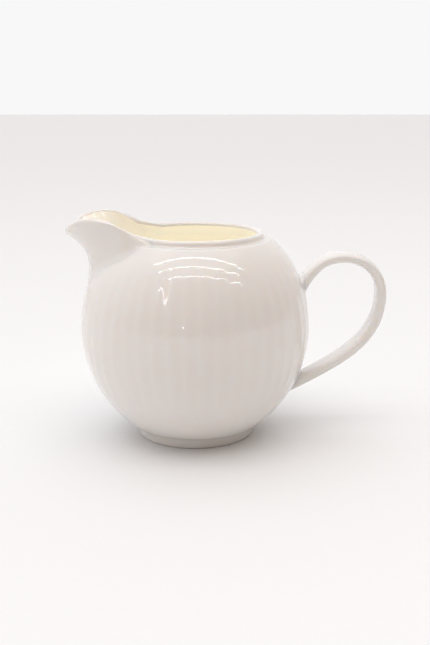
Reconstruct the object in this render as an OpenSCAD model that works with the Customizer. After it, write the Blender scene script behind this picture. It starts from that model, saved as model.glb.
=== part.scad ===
// Ceramic milk pitcher: a round belly on a low foot ring, a small rolled rim,
// a broad beaked spout and a strap handle. The wall is thin, as in bone china.
// The origin is the centre of the foot ring on the table, with Z up.
// The spout points along -X and the handle along +X.

/* [Belly] */
// Greatest diameter of the belly
belly_d = 100; // [80:1:125]
// Height of the greatest diameter above the table
belly_z = 47; // [38:1:56]
// Fullness of the curve above it: 2 is an ellipse, more is squarer
shoulder_fullness = 2.2; // [2:0.05:2.5]
// Fullness of the curve below it: 2 is an ellipse, less is more pointed
base_fullness = 1.9; // [1.7:0.05:2.2]
// Thickness of the wall
wall = 2.5; // [2:0.1:3.5]
// Thickness of the floor
floor_t = 3; // [2:0.1:5]

/* [Foot ring] */
// Outer diameter of the foot ring
foot_d = 52.4; // [42:0.2:63]
// Width of the ring from its inner to its outer wall
foot_w = 3.8; // [3:0.1:5]
// Height of the ring, from the table to the underside of the belly
foot_h = 5.2; // [4:0.1:7]
// Radius of the ring's two lower edges
foot_edge = 1; // [0.5:0.1:1.4]
// How far the belly overhangs the ring
foot_overhang = 2.9; // [1:0.1:5]

/* [Rim] */
// Height of the rim above the table
rim_z = 90; // [75:1:110]
// Outer diameter of the rolled rim
rim_d = 59; // [49:0.5:71]
// Thickness of the rolled rim
rim_t = 2.7; // [2:0.1:3.6]
// Height of the rim above the shoulder
rim_h = 2.8; // [2.6:0.1:6]
// Width of the small ledge between the rim and the shoulder
ledge_w = 2.6; // [2:0.1:4]

/* [Spout] */
// How far the tip of the lip stands out past the belly
lip_reach = 6.5; // [3:0.5:14]
// Width of the lip where it leaves the rim
lip_w = 42; // [34:0.5:50.5]
// Thickness of the spout's wall
spout_t = 2.5; // [2:0.1:3.5]
// Height of the lip's highest point above the rim
lip_rise = 7.5; // [3:0.5:12]
// How far the tip droops below the highest point
lip_droop = 6; // [2:0.5:8]
// Share of the lip's length at which it is highest
lip_crest = 0.63; // [0.5:0.01:0.75]
// How far the throat under the lip lies inside the belly's side
throat_in = 3.5; // [2.5:0.1:5]
// How far the root of the spout is wider than the lip, on each side
root_flare = 5; // [3:0.5:7]

/* [Handle] */
// Distance from the belly's side to the outside of the handle
handle_reach = 33.3; // [27:0.1:42]
// How far the top of the handle lies below the rim
handle_drop = 9; // [3:0.5:14]
// Distance from the belly's side out to the handle's highest point
crest_out = 14; // [10:0.5:18]
// How far the outermost point lies below the top of the handle
back_drop = 18.5; // [14:0.5:24]
// How far the upper root lies below the top of the handle
upper_root_drop = 19; // [17:0.5:24]
// Height of the lower root above the table
lower_root_z = 19; // [16:0.5:24]
// Breadth of the strap, across the jug
strap_w = 12.5; // [9:0.5:16]
// Thickness of the strap
strap_t = 4.5; // [3.5:0.1:6]
// Radius of the slip fillet round each root
joint_r = 3; // [1.5:0.1:4]

/* [Hidden] */
$fn = 128;
SPAN = 400; // longer than any part of the jug

china = "#EFEAE3";
biscuit = "#D9CFC2";

belly_r = belly_d / 2;
rim_r = rim_d / 2;
foot_r = foot_d / 2;

// ---- Belly: a superellipse for the shoulder and another for the base ----
// Height of a quarter superellipse at a share of its radius, as a share of its full height
function curve_height(share, n) = pow(1 - pow(min(share, 1), n), 1 / n);

seat_z = rim_z - rim_h; // where the rim stands on the shoulder
// Each curve is as deep as it must be to reach the rim's ledge or the foot's overhang
shoulder_rise = (seat_z - belly_z) / curve_height((rim_r + ledge_w) / belly_r, shoulder_fullness);
base_drop = (belly_z - foot_h) / curve_height((foot_r + foot_overhang) / belly_r, base_fullness);

function shoulder_z_at(r) =
    belly_z + shoulder_rise * curve_height(r / belly_r, shoulder_fullness);
function belly_r_at(z) =
    belly_r * (z >= belly_z ? curve_height((z - belly_z) / shoulder_rise, shoulder_fullness)
        : curve_height((belly_z - z) / base_drop, base_fullness));

// A point of a quarter superellipse at the angle a, moved inward by inset
function curve_point(a, rise, n, up, inset) =
    let (c = pow(cos(a), 2 / n),
         s = pow(sin(a), 2 / n),
         normal = [pow(c, n - 1) / belly_r, up * pow(s, n - 1) / rise])
    [belly_r * c, belly_z + up * rise * s] - inset * normal / norm(normal);

CURVE_STEPS = 20;
function belly_curve(inset) = concat(
    [for (i = [CURVE_STEPS:-1:0])
        curve_point(90 * i / CURVE_STEPS, base_drop, base_fullness, -1, inset)],
    [for (i = [1:CURVE_STEPS])
        curve_point(90 * i / CURVE_STEPS, shoulder_rise, shoulder_fullness, 1, inset)]);

// Half section of the closed belly curve, kept between two heights
module belly_section(inset, low, high) {
    intersection() {
        polygon(belly_curve(inset));
        translate([0, low]) square([SPAN, high - low]);
    }
}

// The outside of the belly as a solid form, which the other pieces are fitted to
module belly_form() {
    rotate_extrude() belly_section(0, foot_h, seat_z);
}

module body() {
    color(china) difference() {
        rotate_extrude() difference() {
            belly_section(0, foot_h, seat_z);
            belly_section(wall, foot_h + floor_t, SPAN);
        }
        spout_channel();
    }
}

// ---- Foot ring ----
module foot_ring() {
    inner_r = foot_r - foot_w;
    color(biscuit) rotate_extrude() {
        translate([inner_r, foot_edge]) square([foot_w, foot_h - foot_edge]);
        translate([inner_r + foot_edge, 0]) square([foot_w - 2 * foot_edge, foot_h]);
        for (r = [inner_r + foot_edge, foot_r - foot_edge])
            translate([r, foot_edge]) circle(foot_edge);
    }
}

// ---- Rim: a bead on a short upright neck, open where the spout leaves it ----
module rim() {
    bead_r = rim_t / 2;
    bead_z = rim_z - bead_r;
    neck_h = rim_h - bead_r;
    cove_r = min(ledge_w, neck_h);
    color(china) difference() {
        rotate_extrude() {
            translate([rim_r - bead_r, bead_z]) circle(bead_r);
            translate([rim_r - rim_t, seat_z]) square([rim_t, neck_h]);
            difference() {
                translate([rim_r, seat_z]) square(cove_r);
                translate([rim_r + cove_r, seat_z + cove_r]) circle(cove_r);
            }
        }
        translate([spout_x - SPAN, -SPAN / 2, 0]) cube(SPAN);
    }
}

// ---- Spout: three plan outlines, joined from root to lip by a curve that flares ----
LIP_POWER = 2.2; // roundness of the lip's outline
ROOT_POWER = 1.6; // the root's outline is more pointed
FLARE_AT = 0.65; // height of the flare's turning point, as a share of the spout's height
FLARE_IN = 2; // how far the throat draws in at the turning point
ROOT_SINK = 3.5; // the root starts this far below the shoulder and is trimmed to it
SPOUT_COLS = 32;
SPOUT_ROWS = 10;

// The spout starts where the rim is as wide as the lip
spout_x = -sqrt(pow(rim_r, 2) - pow(lip_w / 2, 2));
root_w = lip_w + 2 * root_flare;

// A point of an outline in plan, which ends out past the belly's side
function outline(out, half_w, power, a) =
    [spout_x - (belly_r + out + spout_x) * pow(cos(a), 2 / power),
     half_w * sign(a) * pow(abs(sin(a)), 2 / power)];
function lip_height(a) =
    let (u = pow(cos(a), 2 / LIP_POWER))
    rim_z + (u < lip_crest ? lip_rise * sin(90 * u / lip_crest)
        : lip_rise - lip_droop * (1 - cos(90 * (u - lip_crest) / (1 - lip_crest))));
function spout_point(a, v, inset) =
    let (root = outline(-throat_in - inset, root_w / 2 - inset, ROOT_POWER, a),
         turn = outline(-throat_in - FLARE_IN - inset, (root_w + lip_w) / 4 - inset, ROOT_POWER, a),
         lip = outline(lip_reach - inset, lip_w / 2 - inset, LIP_POWER, a),
         root_z = shoulder_z_at(norm(outline(-throat_in, root_w / 2, ROOT_POWER, a))) - ROOT_SINK,
         lip_z = lip_height(a),
         turn_z = root_z + FLARE_AT * (lip_z - root_z))
    pow(1 - v, 2) * [root[0], root[1], root_z]
    + 2 * v * (1 - v) * [turn[0], turn[1], turn_z]
    + pow(v, 2) * [lip[0], lip[1], lip_z];
function spout_row(v, inset) =
    [for (i = [0:SPOUT_COLS]) spout_point(90 - 180 * i / SPOUT_COLS, v, inset)];

// Triangles between closed rings of n points that lie one above the other
function side_faces(n, rings) =
    [for (j = [0:rings - 2], i = [0:n - 1], half = [0, 1])
        let (a = j * n + i, b = j * n + (i + 1) % n)
        half == 0 ? [a, a + n, b] : [b, a + n, b + n]];
// Triangles across a ring, which join each of its points to the one opposite
function end_faces(n, first, flip) =
    [for (i = [0:floor((n - 3) / 2)], half = [0, 1])
        let (a = first + i, b = first + i + 1, c = first + n - 1 - i, d = c - 1)
        if (half == 0 || b != d)
            let (face = half == 0 ? [a, b, c] : [b, d, c])
            flip ? [face[2], face[1], face[0]] : face];
module stack_of_rings(rings) {
    n = len(rings[0]);
    polyhedron(points = [for (ring = rings, p = ring) p],
               faces = concat(side_faces(n, len(rings)), end_faces(n, 0, false),
                              end_faces(n, (len(rings) - 1) * n, true)));
}
function reversed(list) = [for (i = [len(list) - 1:-1:0]) list[i]];

// The hollow of the spout, which also opens the wall of the belly
module spout_channel() {
    stack_of_rings([for (j = [0:SPOUT_ROWS]) spout_row(j / SPOUT_ROWS, spout_t)]);
}

module spout() {
    color(china) difference() {
        stack_of_rings([for (j = [0:SPOUT_ROWS])
            concat(spout_row(j / SPOUT_ROWS, 0), reversed(spout_row(j / SPOUT_ROWS, spout_t)))]);
        belly_form();
    }
}

// ---- Handle: a strap swept along an ear of three curves ----
STRAP_STEPS = 16; // sections along each of the three curves
STRAP_END = 3 * STRAP_STEPS;
STRAP_SIDES = 16;
STRAP_POWER = 3; // 2 is an oval section, more is squarer
ROOT_DEPTH = 3.5; // the strap's ends start this deep in the belly and are trimmed to it

handle_top = rim_z - handle_drop;
crest = [belly_r + crest_out, handle_top - strap_t / 2];
back = [belly_r + handle_reach - strap_t / 2, handle_top - back_drop];
upper_root_z = handle_top - upper_root_drop;
upper_root = [belly_r_at(upper_root_z) - ROOT_DEPTH, upper_root_z];
lower_root = [belly_r_at(lower_root_z) - ROOT_DEPTH, lower_root_z];
// How far the two ends of each curve are pulled, along X and Z, towards its middle
EAR_PULLS = [[[5, 12], [-8, 0]], [[10, 0], [0, 9]], [[0, -21], [27, 14]]];
ear_ends = [upper_root, crest, back, lower_root];
ear = [for (i = [0:2])
    [ear_ends[i], ear_ends[i] + EAR_PULLS[i][0], ear_ends[i + 1] + EAR_PULLS[i][1], ear_ends[i + 1]]];

function bezier(p, t) =
    pow(1 - t, 3) * p[0] + 3 * t * pow(1 - t, 2) * p[1] + 3 * t * t * (1 - t) * p[2] + pow(t, 3) * p[3];
function bezier_way(p, t) =
    let (d = pow(1 - t, 2) * (p[1] - p[0]) + 2 * t * (1 - t) * (p[2] - p[1]) + t * t * (p[3] - p[2]))
    d / norm(d);

FEATHER = 0.15; // thickness of a slip joint at its far edge
// Height of the concave fillet at a distance from the belly
function fillet(gap, radius) =
    let (share = 1 - max(0, min(gap / radius, 1)))
    radius * (1 - sqrt(1 - share * share));
// One section of the strap, swollen by grow near the belly
function strap_section(centre, way, grow) =
    [for (i = [0:STRAP_SIDES - 1])
        let (a = 360 * i / STRAP_SIDES,
             across = sign(cos(a)) * pow(abs(cos(a)), 2 / STRAP_POWER),
             out = sign(sin(a)) * pow(abs(sin(a)), 2 / STRAP_POWER),
             normal = [-way[1], 0, way[0]],
             spot = [centre[0], 0, centre[1]] + out * strap_t / 2 * normal + [0, across * strap_w / 2, 0],
             gap = norm([spot[0], spot[1]]) - belly_r_at(spot[2]),
             swell = grow == 0 ? 0 : FEATHER + fillet(gap, grow))
        spot + swell * (sin(a) * normal + [0, cos(a), 0])];
function strap_sections(places, grow) =
    [for (k = places)
        let (i = min(floor(k / STRAP_STEPS), 2), t = k / STRAP_STEPS - i)
        strap_section(bezier(ear[i], t), bezier_way(ear[i], t), grow)];

module strap() {
    stack_of_rings(strap_sections([0:STRAP_END], 0));
}

module handle() {
    color(china) difference() {
        strap();
        belly_form();
    }
}

// A joint's sections are placed between the strap's own, as far out as its fillet goes
UPPER_PLACES = [0.25:0.5:5.25];
LOWER_PLACES = [STRAP_END - 3.4:0.3:STRAP_END - 0.4];

// Slip joint that fills the corner between the strap and the belly
module slip_joint(places) {
    color(china) difference() {
        stack_of_rings(strap_sections(places, joint_r));
        belly_form();
        strap();
    }
}

module upper_joint() {
    slip_joint(UPPER_PLACES);
}

module lower_joint() {
    slip_joint(LOWER_PLACES);
}

body();
foot_ring();
rim();
spout();
handle();
upper_joint();
lower_joint();
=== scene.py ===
"""Glazed bone china milk pitcher: its visible skin, studio and camera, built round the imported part.

Lengths in the shape functions are millimetres in the part's own frame, and MM turns them to metres.
"""
import bisect
import math

import bmesh
import bpy
from mathutils import Matrix, Vector


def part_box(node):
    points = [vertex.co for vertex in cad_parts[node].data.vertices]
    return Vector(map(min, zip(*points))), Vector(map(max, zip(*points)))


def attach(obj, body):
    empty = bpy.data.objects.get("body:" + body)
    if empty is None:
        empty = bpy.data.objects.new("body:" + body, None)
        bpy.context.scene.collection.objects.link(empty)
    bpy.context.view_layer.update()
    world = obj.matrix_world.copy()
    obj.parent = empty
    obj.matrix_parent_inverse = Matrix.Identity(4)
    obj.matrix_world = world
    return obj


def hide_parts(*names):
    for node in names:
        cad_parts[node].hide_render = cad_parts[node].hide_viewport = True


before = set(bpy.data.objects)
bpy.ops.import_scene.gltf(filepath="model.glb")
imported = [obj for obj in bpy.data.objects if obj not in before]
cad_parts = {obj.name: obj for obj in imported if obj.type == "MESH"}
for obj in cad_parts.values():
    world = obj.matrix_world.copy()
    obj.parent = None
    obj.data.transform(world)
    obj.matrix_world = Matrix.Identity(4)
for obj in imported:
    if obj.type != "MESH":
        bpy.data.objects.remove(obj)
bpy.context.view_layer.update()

MM = 0.001
TAU = 2 * math.pi


def node_box(node):
    """A part node's lowest and highest corners in millimetres."""
    low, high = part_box(node)
    return [c / MM for c in low], [c / MM for c in high]


# ---- Sizes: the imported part's boxes give the outer ones, and the rest repeat the part's own ----
body_low, body_high = node_box("body")
rim_high = node_box("rim")[1]
foot_high = node_box("foot_ring")[1]
spout_low, spout_high = node_box("spout")
handle_high = node_box("handle")[1]

BELLY_R = body_high[0]
BELLY_Z = 47
SHOULDER_FULLNESS = 2.2
BASE_FULLNESS = 1.9
WALL = 2.5
FLOOR_T = 3
FOOT_H = body_low[2]
FOOT_R = foot_high[0]
FOOT_W = 3.8
FOOT_EDGE = 1
FOOT_OVERHANG = 2.9
SEAT_Z = body_high[2]
RIM_Z = rim_high[2]
RIM_R = 29.5
RIM_T = 2.7
LEDGE_W = 2.6
LIP_REACH = -spout_low[0] - BELLY_R
LIP_W = 42
SPOUT_T = 2.5
LIP_EXTRA_T = 0.5
LIP_CLEARANCE = 0.1
LIP_RISE = spout_high[2] - RIM_Z - LIP_CLEARANCE
LIP_DROOP = 6
LIP_CREST = 0.63
BEAK_POWER = 2.3
THROAT_IN = 3.5
ROOT_FLARE = 5
LIP_POWER = 2.2
ROOT_POWER = 1.6
FLARE_AT = 0.65
FLARE_IN = 2
ROOT_SINK = 3.5
SIDE_FILLET = 1.6
FRONT_FILLET = 7
INNER_FILLET = 1.3
CORNER_RUN = 5.5
RIM_FOOT_DROP = 3
HANDLE_REACH = handle_high[0] - BELLY_R
HANDLE_TOP = RIM_Z - 9
CREST_OUT = 14
BACK_DROP = 18.5
UPPER_ROOT_DROP = 19
LOWER_ROOT_Z = 19
STRAP_W = 12.5
STRAP_T = 4.5
STRAP_POWER = 3
ROOT_DEPTH = 3.5
EAR_PULLS = (((5, 12), (-8, 0)), ((10, 0), (0, 9)), ((0, -21), (27, 14)))

FLUTES = 48
FLUTE_DEPTH = 0.14
# Flutes fade in and out between these heights, and between these distances from a root
FLUTE_STARTS, FLUTE_ENDS = (18, 34), (70, 85)
HANDLE_CLEARANCE, SPOUT_CLEARANCE = (9, 15), (6, 15)
# How much thicker the glaze lies in the flutes and over the inside, from 0 to 1
FLUTE_POOL, INNER_POOL = 0.15, 0.2


# ---- Belly: a superellipse above its widest height and another below it ----
def curve_height(share, n):
    """Height, from 0 to 1, of a unit superellipse at a share of its width."""
    return (1 - min(share, 1) ** n) ** (1 / n)


SHOULDER_RISE = (SEAT_Z - BELLY_Z) / curve_height((RIM_R + LEDGE_W) / BELLY_R, SHOULDER_FULLNESS)
BASE_DROP = (BELLY_Z - FOOT_H) / curve_height((FOOT_R + FOOT_OVERHANG) / BELLY_R, BASE_FULLNESS)


def belly_r_at(z):
    """Radius of the belly at a height, over the crests of its flutes."""
    if z >= BELLY_Z:
        return BELLY_R * curve_height((z - BELLY_Z) / SHOULDER_RISE, SHOULDER_FULLNESS)
    return BELLY_R * curve_height((BELLY_Z - z) / BASE_DROP, BASE_FULLNESS)


def shoulder_z_at(r):
    """Height of the shoulder's outside at a radius."""
    return BELLY_Z + SHOULDER_RISE * curve_height(r / BELLY_R, SHOULDER_FULLNESS)


def curve_point(angle, rise, n, up, inset):
    """Point (r, z) of a quarter superellipse, moved inward along its normal."""
    c, s = max(math.cos(angle), 0) ** (2 / n), math.sin(angle) ** (2 / n)
    normal = Vector((c ** (n - 1) / BELLY_R, up * s ** (n - 1) / rise)).normalized()
    return Vector((BELLY_R * c, BELLY_Z + up * rise * s)) - inset * normal


def belly_curve(inset, low, high, steps=60):
    """Points (r, z) up the belly's curve from one height to another."""
    quarter = [math.pi / 2 * i / steps for i in range(steps + 1)]
    points = [curve_point(a, BASE_DROP, BASE_FULLNESS, -1, inset) for a in reversed(quarter)]
    points += [curve_point(a, SHOULDER_RISE, SHOULDER_FULLNESS, 1, inset) for a in quarter[1:]]
    kept = []
    for p, q in zip(points, points[1:]):
        if p.y < low < q.y:
            kept.append(p.lerp(q, (low - p.y) / (q.y - p.y)))
        if p.y < high <= q.y:
            kept.append(p.lerp(q, (high - p.y) / (q.y - p.y)))
        elif low + 0.2 < q.y < high - 0.2:
            kept.append(q)
    return kept


def smooth_step(low, high, x):
    """0 below low, 1 above high, and a soft rise between them."""
    t = max(0, min((x - low) / (high - low), 1))
    return t * t * (3 - 2 * t)


def belly_gap(p):
    """Level distance of a point outside the belly."""
    return math.hypot(p.x, p.y) - belly_r_at(p.z)


hollow_curve = belly_curve(WALL, FOOT_H + FLOOR_T, SEAT_Z + 1.5)
hollow_heights = [p.y for p in hollow_curve]


def hollow_gap(p):
    """Level distance of a point outside the belly's hollow."""
    i = max(1, min(bisect.bisect(hollow_heights, p.z), len(hollow_curve) - 1))
    a, b = hollow_curve[i - 1], hollow_curve[i]
    return math.hypot(p.x, p.y) - (a.x + (b.x - a.x) * (p.z - a.y) / (b.y - a.y))


def slope(gap, p):
    """Outward normal of the surface that a gap is measured from."""
    step = 0.02
    return Vector([gap(p + step * e) - gap(p - step * e)
                   for e in (Vector((1, 0, 0)), Vector((0, 1, 0)), Vector((0, 0, 1)))]).normalized()


# ---- Spout and rim: closed sections through their wall, all with the same points in the same order ----
SPOUT_X = -math.sqrt(RIM_R ** 2 - (LIP_W / 2) ** 2)
ROOT_W = LIP_W + 2 * ROOT_FLARE
BEAD = RIM_T / 2
BEAD_R = RIM_R - BEAD
BEAD_Z = RIM_Z - BEAD
OUTSIDE_POINTS, LIP_POINTS, INSIDE_POINTS = 46, 9, 30


def outline(out, half_w, power, angle):
    """Point (x, y) of one of the spout's plan outlines."""
    c, s = max(math.cos(angle), 0), math.sin(angle)
    return Vector((SPOUT_X - (BELLY_R + out + SPOUT_X) * c ** (2 / power),
                   math.copysign(half_w * abs(s) ** (2 / power), s)))


def lip_height(angle):
    """Height of the lip's top, which climbs from the rim to a crest and drops to the beak."""
    u = max(math.cos(angle), 0) ** (2 / LIP_POWER)
    if u < LIP_CREST:
        return RIM_Z + LIP_RISE * math.sin(math.pi / 2 * u / LIP_CREST)
    past = (u - LIP_CREST) / (1 - LIP_CREST)
    return RIM_Z + LIP_RISE - LIP_DROOP * past ** BEAK_POWER


def curve(start, turn, end, t, pull=1):
    """Point of a curve that leaves its start towards a turning point, which pulls it in."""
    a, b, c = (1 - t) ** 2, 2 * pull * t * (1 - t), t * t
    return (a * start + b * turn + c * end) / (a + b + c)


def spout_point(angle, v, inset=0, lower=0):
    """Point of the spout's outside from its root, v = 0, to its lip, v = 1.
    Below the root it goes straight down."""
    front = max(math.cos(angle), 0) ** 2
    root = outline(-THROAT_IN - inset, ROOT_W / 2 - inset, ROOT_POWER, angle)
    turn = outline(-THROAT_IN - FLARE_IN - inset, (ROOT_W + LIP_W) / 4 - inset, ROOT_POWER, angle)
    lip = outline(LIP_REACH - inset, LIP_W / 2 - inset, LIP_POWER, angle)
    root_z = shoulder_z_at(outline(-THROAT_IN, ROOT_W / 2, ROOT_POWER, angle).length) - ROOT_SINK
    lip_z = lip_height(angle) - lower
    turn_z = root_z + (FLARE_AT + 0.08 * front) * (lip_z - root_z)
    if v < 0:
        return Vector((*root, root_z + v * (lip_z - root_z)))
    return curve(Vector((*root, root_z)), Vector((*turn, turn_z)), Vector((*lip, lip_z)), v, 1 + 0.6 * front)


def spout_wall(angle, v, lower=0):
    """Outside point of the spout's wall, its direction up the wall and its direction out of it."""
    p = spout_point(angle, v, 0, lower)
    right = min(angle + 0.01, math.pi / 2)
    left = max(angle - 0.01, -math.pi / 2)
    up = (spout_point(angle, v + 0.01, 0, lower) - spout_point(angle, v - 0.01, 0, lower)).normalized()
    out = (spout_point(right, v, 0, lower) - spout_point(left, v, 0, lower)).cross(up).normalized()
    return p, up, -out if out.dot(p - Vector((SPOUT_X + 1, 0, p.z))) < 0 else out


def resample(points, count):
    """A path's points spread evenly along it."""
    run = [0]
    for p, q in zip(points, points[1:]):
        run.append(run[-1] + (q - p).length)
    spread = []
    for k in range(count):
        at = run[-1] * k / (count - 1)
        i = max(1, min(bisect.bisect_left(run, at), len(points) - 1))
        spread.append(points[i - 1].lerp(points[i], (at - run[i - 1]) / max(run[i] - run[i - 1], 1e-9)))
    return spread


def down_to(path, gap, level):
    """The part of a path before its gap from a surface first falls to a level."""
    kept = [path[0]]
    for p, q in zip(path, path[1:]):
        a, b = gap(p), gap(q)
        if b <= level < a:
            kept.append(p.lerp(q, (a - level) / (a - b)))
            return kept
        kept.append(q)
    return kept


def onto(p, gap, depth):
    """A point moved onto a surface, and a depth below it."""
    for _ in range(4):
        p = p - (gap(p) + depth) * slope(gap, p)
    return p


def soft_root(path, gap, out, reach):
    """A path down to a surface, its corner there turned into a soft curve that runs out over it."""
    meet = path[-1]
    normal = slope(gap, meet)
    along = (out - out.dot(normal) * normal).normalized()
    end = onto(meet + reach * along, gap, 0.04)
    kept, run = list(path), 0
    while len(kept) > 2 and run < reach:
        run += (kept[-1] - kept[-2]).length
        kept.pop()
    return kept + [curve(kept[-1], meet, end, k / 14) for k in range(1, 15)], end - 0.8 * slope(gap, end)


def spout_section(angle, lower=0):
    """Closed section through the spout: up its outside, over the round lip, down its inside,
    and into the belly's wall."""
    steps = 70
    front = math.cos(angle) ** 2
    thick = SPOUT_T + LIP_EXTRA_T * front
    length = (spout_point(angle, 1) - spout_point(angle, 0.9)).length / 0.1
    v_lip = 1 - thick / 2 / length
    walls = [spout_wall(angle, v_lip - (v_lip + 0.8) * i / steps, lower) for i in range(steps + 1)]
    thickness = [thick + (SPOUT_T - thick) * min(i / 30, 1) for i in range(steps + 1)]
    outside = down_to([p for p, up, out in walls], belly_gap, 0)
    meet_out = walls[min(len(outside), steps)][2]
    fillet = SIDE_FILLET + (FRONT_FILLET - SIDE_FILLET) * front
    outside, tail = soft_root(outside, belly_gap, meet_out, fillet)
    inside = down_to([p - t * out for (p, up, out), t in zip(walls, thickness)], hollow_gap, 0)
    top, up, out = walls[0]
    middle = top - thick / 2 * out
    lip = [middle + thick / 2 * (math.cos(t) * out + math.sin(t) * up)
           for t in (math.pi * k / (LIP_POINTS + 1) for k in range(1, LIP_POINTS + 1))]
    excess = max(p.z for p in lip) - lip_height(angle)
    if not lower and excess > 0:
        return spout_section(angle, excess)
    corner = inside[-1]
    normal = slope(hollow_gap, corner)
    away = walls[min(len(inside), steps)][2]
    along = (away - away.dot(normal) * normal).normalized()
    inside = resample(inside, INSIDE_POINTS)
    start, end = inside[-2], corner + INNER_FILLET * along - 0.08 * normal
    corner = corner - 0.08 * normal
    inside = inside[:-1] + [curve(start, corner, end, t) for t in (0.25, 0.5, 0.75, 1)] + [end + normal]
    return [tail] + resample(list(reversed(outside)), OUTSIDE_POINTS) + lip + inside


def rim_section():
    """Closed section (r, z) of the rim: ledge, cove, rolled bead, and inside wall down into the neck."""
    cove = min(LEDGE_W, BEAD_Z - SEAT_Z)
    outside = [Vector((RIM_R + LEDGE_W - 0.9, SEAT_Z - 0.06)), Vector((RIM_R + cove + 0.3, SEAT_Z + 0.02))]
    outside += [Vector((RIM_R + cove - cove * math.cos(a), SEAT_Z + 0.03 + cove - cove * math.sin(a)))
                for a in (math.pi / 2 * k / 12 for k in range(12, -1, -1))]
    lip = [Vector((BEAD_R + BEAD * math.cos(a), BEAD_Z + BEAD * math.sin(a)))
           for a in (math.pi * k / (LIP_POINTS + 1) for k in range(1, LIP_POINTS + 1))]
    foot_z = SEAT_Z - RIM_FOOT_DROP
    neck = [p for p in hollow_curve if p.y < foot_z][-2:]
    fall = (neck[1] - neck[0]).normalized()
    foot = neck[1] + Vector((-0.03, -0.03))
    level = foot + (RIM_R - RIM_T - foot.x) / fall.x * fall
    turn = Vector((RIM_R - RIM_T, min(level.y, BEAD_Z - 0.4)))
    inside = resample([curve(Vector((RIM_R - RIM_T, BEAD_Z)), turn, foot, k / 20) for k in range(21)],
                      INSIDE_POINTS - 1)
    end = [foot + k * (0.15 * Vector((fall.y, -fall.x)) - 0.3 * fall) for k in (1, 2, 3, 4)]
    # the section closes through the wall, by one point under the shoulder and one under the ledge
    under_shoulder = Vector((RIM_R + 2.6, SEAT_Z - 1.9))
    under_ledge = Vector((RIM_R + LEDGE_W - 1.2, SEAT_Z - 0.9))
    return [under_ledge] + resample(outside, OUTSIDE_POINTS) + lip + inside + end + [under_shoulder]


RIM_SECTION = rim_section()
LINING_START = OUTSIDE_POINTS + LIP_POINTS + 2
CORNER_TURN = math.pi - math.asin((LIP_W - SPOUT_T) / 2 / BEAD_R)
RIM_END = CORNER_TURN - CORNER_RUN / BEAD_R
SPOUT_START = math.radians(82)


def rim_point(p, turn):
    """A section's point (r, z), turned round the rim from the handle's side."""
    return Vector((p.x * math.cos(turn), p.x * math.sin(turn), p.y))


def corner_sections(side, count=14):
    """Sections that lead from the rim's end round the corner to the spout's first section."""
    first, second = spout_section(side * SPOUT_START), spout_section(side * (SPOUT_START - 0.03))
    made = []
    for k, p in enumerate(RIM_SECTION):
        start, end = rim_point(p, side * RIM_END), first[k]
        leave = side * Vector((-start.y, start.x, 0)).normalized()
        arrive = second[k] - end
        arrive.z = 0
        arrive.normalize()
        gap = end - start
        cross = leave.x * arrive.y - leave.y * arrive.x
        a = (gap.x * arrive.y - gap.y * arrive.x) / cross if abs(cross) > 0.05 else -1
        b = (leave.x * gap.y - leave.y * gap.x) / cross if abs(cross) > 0.05 else -1
        span = Vector((gap.x, gap.y)).length
        a, b = (min(max(t, 0.3 * span), 0.75 * span) for t in (a, b))
        turn = (start + a * leave + end - b * arrive) / 2
        turn.z = start.z + 0.15 * (end.z - start.z)
        made.append([curve(start, turn, end, j / count) for j in range(count)])
    return [list(section) for section in zip(*made)]


# ---- Handle: a strap swept along an ear of three curves ----
def ear_curves():
    """The ear's three cubic curves (r, z), from the upper root over the crest and down the back."""
    top = HANDLE_TOP
    root_z = top - UPPER_ROOT_DROP
    ends = [Vector((belly_r_at(root_z) - ROOT_DEPTH, root_z)),
            Vector((BELLY_R + CREST_OUT, top - STRAP_T / 2)),
            Vector((BELLY_R + HANDLE_REACH - STRAP_T / 2, top - BACK_DROP)),
            Vector((belly_r_at(LOWER_ROOT_Z) - ROOT_DEPTH, LOWER_ROOT_Z))]
    return [(ends[i], ends[i] + Vector(EAR_PULLS[i][0]), ends[i + 1] + Vector(EAR_PULLS[i][1]), ends[i + 1])
            for i in range(3)]


EAR = ear_curves()


def strap_point(turn, t):
    """Point of the strap's skin at a turn round its section and a place t, 0 to 3, along the ear."""
    i = min(int(t), 2)
    p, s = EAR[i], t - i
    centre = (1 - s) ** 3 * p[0] + 3 * s * (1 - s) ** 2 * p[1] + 3 * s * s * (1 - s) * p[2] + s ** 3 * p[3]
    way = (1 - s) ** 2 * (p[1] - p[0]) + 2 * s * (1 - s) * (p[2] - p[1]) + s * s * (p[3] - p[2])
    way.normalize()
    c, k = math.cos(TAU * turn), math.sin(TAU * turn)
    across = math.copysign(abs(c) ** (2 / STRAP_POWER), c) * STRAP_W / 2
    out = math.copysign(abs(k) ** (2 / STRAP_POWER), k) * STRAP_T / 2
    normal = Vector((-way.y, 0, way.x))
    return Vector((centre.x, 0, centre.y)) + out * normal + Vector((0, across, 0))


def strap_out(turn, t):
    """Direction straight out of the strap's skin."""
    step = 0.002
    along = strap_point(turn, min(t + 0.01, 3)) - strap_point(turn, max(t - 0.01, 0))
    round_ = strap_point(turn + step, t) - strap_point(turn - step, t)
    out = along.cross(round_).normalized()
    centre = (strap_point(turn, t) + strap_point(turn + 0.5, t)) / 2
    return out if out.dot(strap_point(turn, t) - centre) > 0 else -out


def strap_meets(turn, level, upper):
    """Place along the ear where one line of the strap is a distance outside the belly."""
    a, b = (0, 0.6) if upper else (3, 2.4)
    for _ in range(30):
        middle = (a + b) / 2
        if belly_gap(strap_point(turn, middle)) < level:
            a = middle
        else:
            b = middle
    return (a + b) / 2


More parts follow.
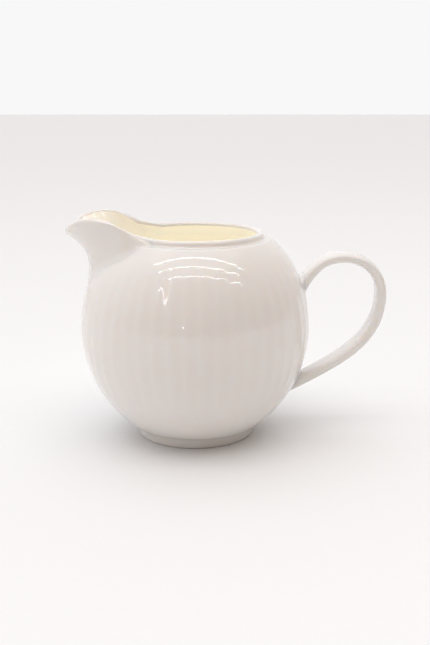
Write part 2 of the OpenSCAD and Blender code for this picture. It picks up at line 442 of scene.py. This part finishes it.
def joint_section(turn, upper, reach):
    """Closed section of the slip joint between the strap and the belly."""
    t = strap_meets(turn, 0, upper)
    meet = strap_point(turn, t)
    far = t
    while (strap_point(turn, far) - meet).length < reach:
        far += 0.004 if upper else -0.004
    on_strap = strap_point(turn, far)
    out = strap_out(turn, t)
    normal = slope(belly_gap, meet)
    along = (out - out.dot(normal) * normal).normalized()
    on_belly = meet + reach * along
    for _ in range(3):
        on_belly -= (belly_gap(on_belly) + 0.03) * slope(belly_gap, on_belly)
    strap_side = strap_out(turn, far)
    on_strap -= 0.03 * strap_side
    bend = [(1 - k) ** 2 * on_strap + 2 * k * (1 - k) * meet + k * k * on_belly
            for k in (j / 12 for j in range(13))]
    buried = meet - 0.7 * normal - 0.7 * out
    return bend + [on_belly - 0.6 * slope(belly_gap, on_belly), buried, on_strap - 0.6 * strap_side]


# ---- Meshes ----
def sheet(bm, columns, rows, place, lined=(2, 2)):
    """A grid of faces laid over place(u, v), with u and v from 0 to 1, and merged where it meets itself.
    Its rows between the two lined values of v take the piece's second material."""
    made = bmesh.ops.create_grid(bm, x_segments=columns, y_segments=rows, size=1)
    for face in bm.faces:
        face.material_index = 1 if lined[0] < (face.calc_center_median().y + 1) / 2 < lined[1] else 0
    for v in made["verts"]:
        v.co = place((v.co.x + 1) / 2, (v.co.y + 1) / 2)
    bmesh.ops.remove_doubles(bm, verts=bm.verts, dist=0.001)


def loop_at(sections):
    """place(u, v) over a list of closed sections, u along the list and v round each."""
    def place(u, v):
        section = sections[round(u * (len(sections) - 1))]
        return section[round(v * len(section)) % len(section)]
    return place


def lathe(bm, profile, steps, centre=(0, 0), closed=False):
    """Spins a profile of points (r, z) all round an upright axis."""
    verts = [bm.verts.new((centre[0] + p[0], centre[1], p[1])) for p in profile]
    edges = [bm.edges.new(pair) for pair in zip(verts, verts[1:])]
    if closed:
        edges.append(bm.edges.new((verts[-1], verts[0])))
    bmesh.ops.spin(bm, geom=verts + edges, cent=(*centre, 0), axis=(0, 0, 1), angle=TAU, steps=steps,
                   use_merge=True)
    bmesh.ops.remove_doubles(bm, verts=bm.verts, dist=0.0005)


def soften(bm, r, z, width, segments=4):
    """Bevels the level edge ring at a radius and height."""
    ring = [e for e in bm.edges
            if all(abs(math.hypot(v.co.x, v.co.y) - r) < 0.02 and abs(v.co.z - z) < 0.02 for v in e.verts)]
    bmesh.ops.bevel(bm, geom=ring, offset=width, offset_type="OFFSET", segments=segments, profile=0.5,
                    affect="EDGES", material=-1, clamp_overlap=False)


def new_piece(bm, name, materials, sharp=50):
    """A closed mesh in millimetres, made a smooth-shaded object in metres."""
    bmesh.ops.recalc_face_normals(bm, faces=bm.faces)
    bmesh.ops.transform(bm, matrix=Matrix.Scale(MM, 4), verts=bm.verts)
    mesh = bpy.data.meshes.new(name)
    bm.to_mesh(mesh)
    bm.free()
    piece = bpy.data.objects.new(name, mesh)
    bpy.context.scene.collection.objects.link(piece)
    for material in materials:
        mesh.materials.append(material)
    mesh.shade_smooth()
    mesh.set_sharp_from_angle(angle=math.radians(sharp))
    return piece


def stands_for(piece, node):
    """Puts a finished piece in the place of its node."""
    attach(piece, "root")
    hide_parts(node)


# ---- Materials ----
def linear(code):
    """Linear colour of an sRGB hex code."""
    parts = [int(code[i:i + 2], 16) / 255 for i in (1, 3, 5)]
    return (*[c / 12.92 if c <= 0.04045 else ((c + 0.055) / 1.055) ** 2.4 for c in parts], 1)


def add(tree, kind, inputs=(), **settings):
    """Adds a node, with its settings and with its inputs set or linked."""
    node = tree.nodes.new(kind)
    for key, value in settings.items():
        setattr(node, key, value)
    for key, value in dict(inputs).items():
        if isinstance(value, bpy.types.NodeSocket):
            tree.links.new(value, node.inputs[key])
        else:
            node.inputs[key].default_value = value
    return node


def new_material(name):
    """A material with an empty node tree, and the tree."""
    material = bpy.data.materials.new(name)
    material.use_nodes = True
    material.node_tree.nodes.clear()
    return material, material.node_tree


def glazed_china(name, clear, pooled, roughness, glow=0.0):
    """Bone china, cast thin and fired under a clear gloss glaze: a bright white that lets some light through,
    with a sharp gloss that wavers a little where the glaze ran, and a warmer tone where it lies thick.
    The glow is painted light: an even emission that stands for the daylight that comes through the thin wall
    and goes round in the hollow."""
    material, tree = new_material(name)
    place = add(tree, "ShaderNodeTexCoord").outputs["Object"]
    # The glaze varies in tone over 25 mm, its skin ripples over 7 mm like the peel of an orange, and its
    # polish changes over 1.2 mm; the real changes are finer, and are drawn this coarse to show
    tone = add(tree, "ShaderNodeTexNoise", {"Vector": place, "Scale": 1 / (25 * MM), "Detail": 3.0})
    ripple = add(tree, "ShaderNodeTexNoise", {"Vector": place, "Scale": 1 / (7 * MM), "Detail": 1.5})
    fine = add(tree, "ShaderNodeTexNoise", {"Vector": place, "Scale": 1 / (1.2 * MM), "Detail": 2.0})
    pool = add(tree, "ShaderNodeAttribute", attribute_name="glaze_pool")
    thick = add(tree, "ShaderNodeMath", {0: tone.outputs["Fac"], 1: 0.35, 2: pool.outputs["Fac"]},
                operation="MULTIPLY_ADD")
    colour = add(tree, "ShaderNodeMix", {"Factor": thick.outputs[0], "A": linear(clear), "B": linear(pooled)},
                 data_type="RGBA", clamp_factor=True)
    rough = add(tree, "ShaderNodeMapRange",
                {"Value": fine.outputs["Fac"], "To Min": roughness * 0.8, "To Max": roughness * 1.3})
    bump = add(tree, "ShaderNodeBump",
               {"Height": ripple.outputs["Fac"], "Strength": 0.12, "Distance": 0.06 * MM})
    shader = add(tree, "ShaderNodeBsdfPrincipled", {
        "Base Color": colour.outputs["Result"], "Roughness": rough.outputs["Result"],
        "IOR": 1.5, "Normal": bump.outputs["Normal"],
        "Subsurface Weight": 0.5, "Subsurface Radius": (1.0, 0.8, 0.6), "Subsurface Scale": 2 * MM,
        "Coat Weight": 0.4, "Coat Roughness": 0.02, "Coat IOR": 1.5,
        "Emission Color": linear("#FFF7E4"), "Emission Strength": glow})
    add(tree, "ShaderNodeOutputMaterial", {"Surface": shader.outputs["BSDF"]})
    return material


def ground_biscuit(name, pale, stained):
    """Bare china ground flat on a wheel: matt and porous, with fine grit marks and a little table dirt."""
    material, tree = new_material(name)
    place = add(tree, "ShaderNodeTexCoord").outputs["Object"]
    stain = add(tree, "ShaderNodeTexNoise", {"Vector": place, "Scale": 1 / (4 * MM), "Detail": 4.0})
    grit = add(tree, "ShaderNodeTexNoise", {"Vector": place, "Scale": 1 / (0.3 * MM), "Detail": 2.0})
    patch = add(tree, "ShaderNodeMapRange",
                {"Value": stain.outputs["Fac"], "From Min": 0.45, "From Max": 0.75, "To Max": 0.6})
    colour = add(tree, "ShaderNodeMix",
                 {"Factor": patch.outputs["Result"], "A": linear(pale), "B": linear(stained)},
                 data_type="RGBA", clamp_factor=True)
    bump = add(tree, "ShaderNodeBump",
               {"Height": grit.outputs["Fac"], "Strength": 0.5, "Distance": 0.04 * MM})
    shader = add(tree, "ShaderNodeBsdfPrincipled", {
        "Base Color": colour.outputs["Result"], "Roughness": 0.75, "IOR": 1.5,
        "Normal": bump.outputs["Normal"]})
    add(tree, "ShaderNodeOutputMaterial", {"Surface": shader.outputs["BSDF"]})
    return material


outer_glaze = glazed_china("glazed_bone_china", "#EEECEA", "#E5DFD9", 0.06)
# Painted light: the inside's copy of the glaze is lighter and creamier than the outside's and glows evenly,
# for the daylight that gathers and bounces round in the hollow
inside_glaze_painted_glow = glazed_china("bone_china_painted_inner_glow", "#FCF9F0", "#F8F3E4", 0.1, glow=0.14)
foot_biscuit = ground_biscuit("ground_china_biscuit", "#D8CFC0", "#9C8F7C")


# ---- Body: the fluted belly with its hollow and floor ----
FLUTE_ROOTS = [strap_point(0.25, strap_meets(0.25, 0, upper)) for upper in (True, False)]


def spout_root(angle):
    """Where the spout's outside meets the belly."""
    return down_to([spout_point(angle, 0.9 - i / 40) for i in range(50)], belly_gap, 0)[-1]


SPOUT_ROOTS = [spout_root(math.pi / 24 * k) for k in range(-12, 13)]


def flute_fade(p):
    """How much of its full depth a flute has here.
    It fades towards the neck, the base, the spout and the handle's roots."""
    share = smooth_step(*FLUTE_STARTS, p.z) * (1 - smooth_step(*FLUTE_ENDS, p.z))
    for root in FLUTE_ROOTS:
        share *= smooth_step(*HANDLE_CLEARANCE, (p - root).length)
    if p.x < -15 and p.z > 45 and share:
        share *= smooth_step(*SPOUT_CLEARANCE, min((p - root).length for root in SPOUT_ROOTS))
    return share


def flute_hollow(p):
    """0 on the crest between two flutes and 1 in the middle of a flute."""
    turn = math.atan2(p.y, p.x) / TAU * FLUTES
    across = 2 * abs(turn - round(turn))
    return 0.6 * (1 - across ** 2) + 0.2 * (1 + math.cos(math.pi * across))


def spout_cutter():
    """The hole that the spout's channel makes in the belly, a little wider than the channel."""
    bm = bmesh.new()
    inset, columns = SPOUT_T - 0.75, 64
    rows = [-0.9] + [j / 12 for j in range(14)]

    def place(u, v):
        k, row = round(u * (columns + 1)) % (columns + 1), rows[round(v * (len(rows) - 1))]
        # the hole's flat side reaches under the rim's corners, and its top clears the lip
        past = Vector((3 if k in (0, columns) else 0, 0, 3 if row > 1 else 0))
        return spout_point(math.pi * (k / columns - 0.5), min(row, 1), inset) + past

    sheet(bm, columns + 1, len(rows) - 1, place)
    bmesh.ops.holes_fill(bm, edges=[e for e in bm.edges if e.is_boundary], sides=0)
    return new_piece(bm, "spout_hole", [])


def make_body():
    """The cast belly: lathe-turned outside and hollow, with its flutes and the spout's hole."""
    bm = bmesh.new()
    under = [(0, FOOT_H), (FOOT_R - FOOT_W, FOOT_H), (FOOT_R, FOOT_H)]
    outside = [tuple(p) for p in belly_curve(0, FOOT_H, SEAT_Z)]
    # the belly's inside ends in the rim's foot, and its wall goes up out of sight behind the rim's skin
    behind = [(RIM_R + 0.7, SEAT_Z), (RIM_R + 1.7, SEAT_Z - 1.4)]
    hollow_top = SEAT_Z - RIM_FOOT_DROP - 0.05
    inside = [tuple(p) for p in reversed(belly_curve(WALL, FOOT_H + FLOOR_T, hollow_top, 36))]
    floor = [(r, FOOT_H + FLOOR_T) for r in (20, 10, 0)]
    lathe(bm, under + outside + behind + inside + floor, FLUTES * 8)
    soften(bm, FOOT_R + FOOT_OVERHANG, FOOT_H, 1.3)
    soften(bm, RIM_R + LEDGE_W, SEAT_Z, 0.7)
    soften(bm, inside[-1][0], FOOT_H + FLOOR_T, 3, 6)
    for v in bm.verts:
        if FOOT_H + 2 < v.co.z < SEAT_Z and belly_gap(v.co) > -WALL / 2:
            depth = FLUTE_DEPTH * flute_fade(v.co) * flute_hollow(v.co)
            r = math.hypot(v.co.x, v.co.y)
            v.co.x *= 1 - depth / r
            v.co.y *= 1 - depth / r
    body = new_piece(bm, "belly", [outer_glaze, inside_glaze_painted_glow])
    cutter = spout_cutter()
    cut = body.modifiers.new("spout_hole", "BOOLEAN")
    cut.operation, cut.solver, cut.object = "DIFFERENCE", "EXACT", cutter
    ready = body.evaluated_get(bpy.context.evaluated_depsgraph_get())
    mesh = bpy.data.meshes.new_from_object(ready)
    body.modifiers.clear()
    body.data = mesh
    mesh.name = "belly"
    bpy.data.objects.remove(cutter)
    mesh.shade_smooth()
    mesh.set_sharp_from_angle(angle=math.radians(50))
    pool = mesh.attributes.new("glaze_pool", "FLOAT", "POINT")
    for i, v in enumerate(mesh.vertices):
        p = v.co / MM
        outer = belly_gap(p) > -WALL / 2
        pool.data[i].value = FLUTE_POOL * flute_hollow(p) * flute_fade(p) if outer else INNER_POOL
    for face in mesh.polygons:
        p = face.center / MM
        lines_hollow = belly_gap(p) < -WALL / 2 and p.z > FOOT_H + 1 and hollow_gap(p) < 0.4
        face.material_index = 1 if lines_hollow else 0
    stands_for(body, "body")
    return body


def make_foot():
    """The foot ring, with its bottom edge ground bare."""
    bm = bmesh.new()
    inner = FOOT_R - FOOT_W
    edge = [(FOOT_EDGE * (1 - math.cos(a)), FOOT_EDGE * (1 - math.sin(a)))
            for a in (math.pi / 2 * k / 6 for k in range(7))]
    outer_wall = [(FOOT_R - dr, dz) for dr, dz in reversed(edge)]
    inner_wall = [(inner + dr, dz) for dr, dz in edge]
    soft = 1.3
    flare = [(soft * (1 - math.cos(a)), soft * (1 - math.sin(a)))
             for a in (math.pi / 2 * k / 6 for k in range(7))]
    # the ring's top spreads softly under the belly, on both sides
    out_flare = [(FOOT_R + dr, FOOT_H + 0.03 - dz) for dr, dz in flare]
    in_flare = [(inner - dr, FOOT_H + 0.03 - dz) for dr, dz in reversed(flare)]
    top = [(FOOT_R + soft, FOOT_H + 0.8), (inner - soft, FOOT_H + 0.8)]
    outside = outer_wall + [(FOOT_R, FOOT_H / 2)] + out_flare
    inside = in_flare + [(inner, FOOT_H / 2)] + inner_wall
    lathe(bm, outside + top + inside, 256, closed=True)
    foot = new_piece(bm, "foot_ring_skin", [outer_glaze, foot_biscuit])
    for face in foot.data.polygons:
        face.material_index = 1 if face.center.z < 0.12 * MM else 0
    stands_for(foot, "foot_ring")
    return foot


def make_rim():
    """The rolled rim, spun from one end of the spout's corners round to the other."""
    bm = bmesh.new()
    verts = [bm.verts.new(rim_point(p, -RIM_END)) for p in RIM_SECTION]
    edges = [bm.edges.new(pair) for pair in zip(verts, verts[1:] + verts[:1])]
    bmesh.ops.spin(bm, geom=verts + edges, cent=(0, 0, 0), axis=(0, 0, 1), angle=2 * RIM_END, steps=200)
    bmesh.ops.holes_fill(bm, edges=[e for e in bm.edges if e.is_boundary], sides=0)
    for face in bm.faces:
        p = face.calc_center_median()
        mouth_side = math.hypot(p.x, p.y) < RIM_R - 0.1 or p.z < SEAT_Z - 0.2
        face.material_index = 1 if mouth_side and p.z < RIM_SECTION[LINING_START].y else 0
    rim = new_piece(bm, "rolled_rim", [outer_glaze, inside_glaze_painted_glow])
    stands_for(rim, "rim")
    return rim


def make_spout():
    """The beaked spout, with the soft corners that join its lip to the rim."""
    bm = bmesh.new()
    columns = 72
    angles = [SPOUT_START * math.cos(math.pi * i / columns) for i in range(columns + 1)]
    sections = corner_sections(1) + [spout_section(a) for a in angles] + list(reversed(corner_sections(-1)))
    rows = len(sections[0])
    sheet(bm, len(sections) - 1, rows, loop_at(sections), (LINING_START / rows, 1 - 0.5 / rows))
    bmesh.ops.holes_fill(bm, edges=[e for e in bm.edges if e.is_boundary], sides=0)
    spout = new_piece(bm, "beaked_spout", [outer_glaze, inside_glaze_painted_glow])
    stands_for(spout, "spout")
    return spout


def make_handle():
    """The strap handle, sunk a little into the belly at both ends."""
    bm = bmesh.new()
    columns = 56
    sunk = -1.2
    spans = [(strap_meets(k / columns, sunk, True), strap_meets(k / columns, sunk, False))
             for k in range(columns)]

    def place(u, v):
        k = round(u * columns) % columns
        a, b = spans[k]
        return strap_point(k / columns, a + (b - a) * v)

    sheet(bm, columns, 168, place)
    bmesh.ops.holes_fill(bm, edges=[e for e in bm.edges if e.is_boundary], sides=0)
    handle = new_piece(bm, "strap_handle", [outer_glaze])
    stands_for(handle, "handle")
    return handle


def make_joint(name, node, upper):
    """A slip fillet all round one root of the handle, widest on the outside of the ear."""
    bm = bmesh.new()
    columns = 72
    sections = []
    for k in range(columns + 1):
        turn = k / columns
        outward = math.sin(TAU * turn)
        reach = 1.8 + 1.2 * max(outward if upper else -outward, 0)
        sections.append(joint_section(turn, upper, reach))
    sheet(bm, columns, len(sections[0]), loop_at(sections))
    joint = new_piece(bm, name, [outer_glaze])
    stands_for(joint, node)
    return joint


make_body()
make_foot()
make_rim()
make_spout()
make_handle()
make_joint("upper_slip_joint", "upper_joint", True)
make_joint("lower_slip_joint", "lower_joint", False)


# ---- Studio ----
# The room is dim and warm where the camera stands, and bright behind the jug, to its left and overhead
ROOM_LEAN = Vector((-0.4, 0.65, 0.6)).normalized()
ROOM_DIM, ROOM_BRIGHT = 0.1, 1.03
CEILING_LIGHT = 0.6
FLOOR_HALF_W = 6
AIM = (0, 0, 0.05)
# Ceiling bars: name, x, y and length in metres
BARS = (("front_bar", 0.28, -0.615, 1.7), ("middle_bar", 0.12, -0.36, 1.6), ("back_bar", 0.1, -0.13, 1.5))
BAR_Z, BAR_W, BAR_POWER = 1.09, 0.022, 1.0
CAMERA_PLACE = Vector((8.63, -383.64, 147.66)) * MM
CAMERA_DOWN = math.radians(14.39)


def make_floor():
    """A wide sheet of matt white card."""
    material, tree = new_material("matt_white_card")
    place = add(tree, "ShaderNodeTexCoord").outputs["Object"]
    # Card fibres, too fine to see one by one, drawn as a faint 3 mm mottle
    mottle = add(tree, "ShaderNodeTexNoise", {"Vector": place, "Scale": 1 / (3 * MM), "Detail": 2.0})
    colour = add(tree, "ShaderNodeMix",
                 {"Factor": mottle.outputs["Fac"], "A": linear("#F1F2F3"), "B": linear("#EFF0F1")},
                 data_type="RGBA")
    shader = add(tree, "ShaderNodeBsdfPrincipled", {"Base Color": colour.outputs["Result"], "Roughness": 0.9})
    add(tree, "ShaderNodeOutputMaterial", {"Surface": shader.outputs["BSDF"]})
    bm = bmesh.new()
    bmesh.ops.create_grid(bm, x_segments=8, y_segments=8, size=FLOOR_HALF_W)
    mesh = bpy.data.meshes.new("floor")
    bm.to_mesh(mesh)
    bm.free()
    mesh.materials.append(material)
    floor = bpy.data.objects.new("floor", mesh)
    bpy.context.scene.collection.objects.link(floor)


def area_light(name, place, look_at, width, height, power, shine_only=False):
    """A rectangular lamp in metres and watts, out of the camera's sight."""
    lamp = bpy.data.lights.new(name, "AREA")
    lamp.shape, lamp.size, lamp.size_y, lamp.energy = "RECTANGLE", width, height, power
    holder = bpy.data.objects.new(name, lamp)
    holder.location = place
    holder.rotation_euler = (Vector(look_at) - Vector(place)).to_track_quat("-Z", "Y").to_euler()
    holder.visible_camera = False
    holder.visible_diffuse = not shine_only
    bpy.context.scene.collection.objects.link(holder)


def make_studio():
    """The white room and the lamps."""
    world = bpy.data.worlds.new("white_room")
    bpy.context.scene.world = world
    world.use_nodes = True
    tree = world.node_tree
    tree.nodes.clear()
    way = add(tree, "ShaderNodeTexCoord").outputs["Generated"]
    toward = add(tree, "ShaderNodeVectorMath", {0: way, 1: ROOM_LEAN}, operation="DOT_PRODUCT")
    share = add(tree, "ShaderNodeMapRange",
                {"Value": toward.outputs["Value"], "From Min": -0.9, "From Max": 1.0},
                interpolation_type="SMOOTHSTEP").outputs["Result"]
    colour = add(tree, "ShaderNodeMix", {"Factor": share, "A": linear("#FFE4CC"), "B": linear("#FDFDFF")},
                 data_type="RGBA")
    level = add(tree, "ShaderNodeMapRange", {"Value": share, "To Min": ROOM_DIM, "To Max": ROOM_BRIGHT})
    up = add(tree, "ShaderNodeSeparateXYZ", {0: way}).outputs["Z"]
    ceiling = add(tree, "ShaderNodeMapRange",
                  {"Value": up, "From Min": 0.8, "From Max": 0.87, "To Max": CEILING_LIGHT})
    total = add(tree, "ShaderNodeMath", {0: level.outputs["Result"], 1: ceiling.outputs["Result"]},
                operation="ADD")
    lit = add(tree, "ShaderNodeBackground", {"Color": colour.outputs["Result"], "Strength": total.outputs[0]})
    seen = add(tree, "ShaderNodeLightPath").outputs["Is Camera Ray"]
    shown = add(tree, "ShaderNodeBackground", {"Color": linear("#F8F8F8"), "Strength": 1.0})
    mix = add(tree, "ShaderNodeMixShader", {0: seen, 1: lit.outputs[0], 2: shown.outputs[0]})
    add(tree, "ShaderNodeOutputWorld", {"Surface": mix.outputs[0]})
    # Ceiling bars, a window's side and a small lamp show in the gloss
    for name, x, y, length in BARS:
        area_light(name, (x, y, BAR_Z), (x, *AIM[1:]), length, BAR_W, BAR_POWER)
    area_light("window_side", (-0.6, -0.8, 0.85), AIM, 0.02, 0.8, 0.3, shine_only=True)
    area_light("small_lamp", (-0.2, -0.93, 0.17), AIM, 0.03, 0.03, 0.06)


def make_camera():
    """The camera, which looks a little down on the pitcher."""
    data = bpy.data.cameras.new("camera")
    data.lens, data.sensor_width = 50, 36
    camera = bpy.data.objects.new("camera", data)
    camera.location = CAMERA_PLACE
    camera.rotation_euler = (math.pi / 2 - CAMERA_DOWN, 0, 0)
    bpy.context.scene.collection.objects.link(camera)
    bpy.context.scene.camera = camera


make_floor()
make_studio()
make_camera()
bpy.context.scene.view_settings.view_transform = "Standard"
